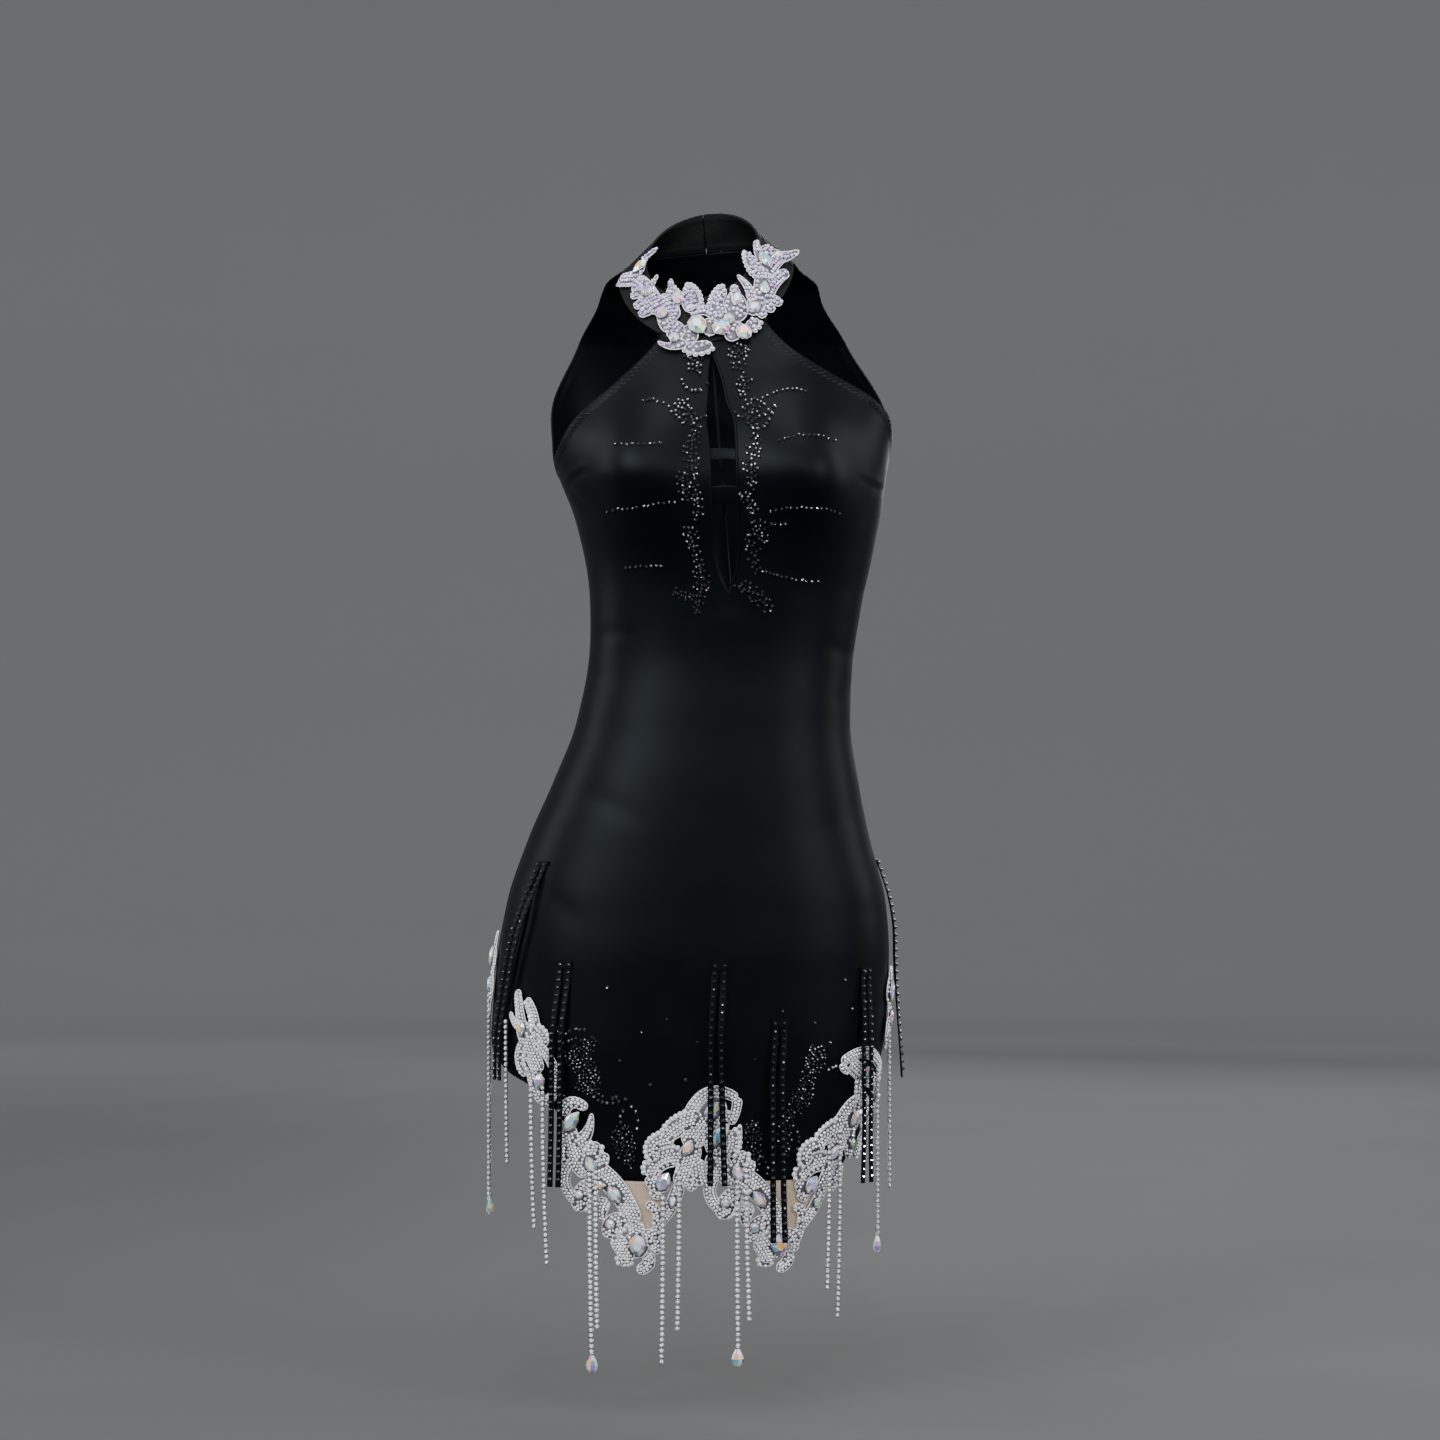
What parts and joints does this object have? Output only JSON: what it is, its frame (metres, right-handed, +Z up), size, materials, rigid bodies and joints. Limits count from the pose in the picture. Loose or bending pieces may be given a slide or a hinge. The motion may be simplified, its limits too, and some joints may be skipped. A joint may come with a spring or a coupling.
{
  "type": "latin dance dress",
  "caption": "Close-fitting halter dance dress with a pointed keyhole front, leaf-trimmed neckband and zigzag hem, hanging ribbons and stone-chain fringe.",
  "frame": {"origin": "centre of the neckband, where the wearer's neck holds the dress up", "axes": "+Z up along the wearer's body, -Y out of the front, +X to the viewer's right"},
  "size_m": [0.3403, 0.241, 0.9413],
  "materials": {
    "black_satin": "stretch satin with a soft sheen",
    "black_band": "matt knit band",
    "bead_ribbon": "narrow ribbon set with black faceted beads",
    "silver_leaf": "silver corded lace leaves set with crystal stones, with cup chain fringe",
    "opal_leaf": "silver corded lace leaves set with rainbow-coated stones",
    "nude_net": "fine skin-toned net"
  },
  "bodies": {
    "root": {"front_panel": "black_satin", "back_panel": "black_satin", "neckband": "black_band", "neckband_tab": "black_band", "keyhole_strap_upper": "black_satin", "keyhole_strap_lower": "black_satin", "ribbon_pair_front_left": "bead_ribbon", "ribbon_pair_front_middle": "bead_ribbon", "ribbon_pair_front_right": "bead_ribbon", "ribbon_pair_right": "bead_ribbon", "ribbon_pair_side_left": "bead_ribbon", "ribbon_pair_side_right": "bead_ribbon", "hem_net_left": "nude_net", "hem_net_right": "nude_net", "hem_leaf_trim_front": "silver_leaf", "hem_leaf_trim_left": "silver_leaf", "hem_leaf_trim_side_left": "silver_leaf", "hem_leaf_trim_right": "silver_leaf", "hem_leaf_trim_side_right": "silver_leaf", "collar_leaf_trim": "opal_leaf"}
  },
  "joints": []
}
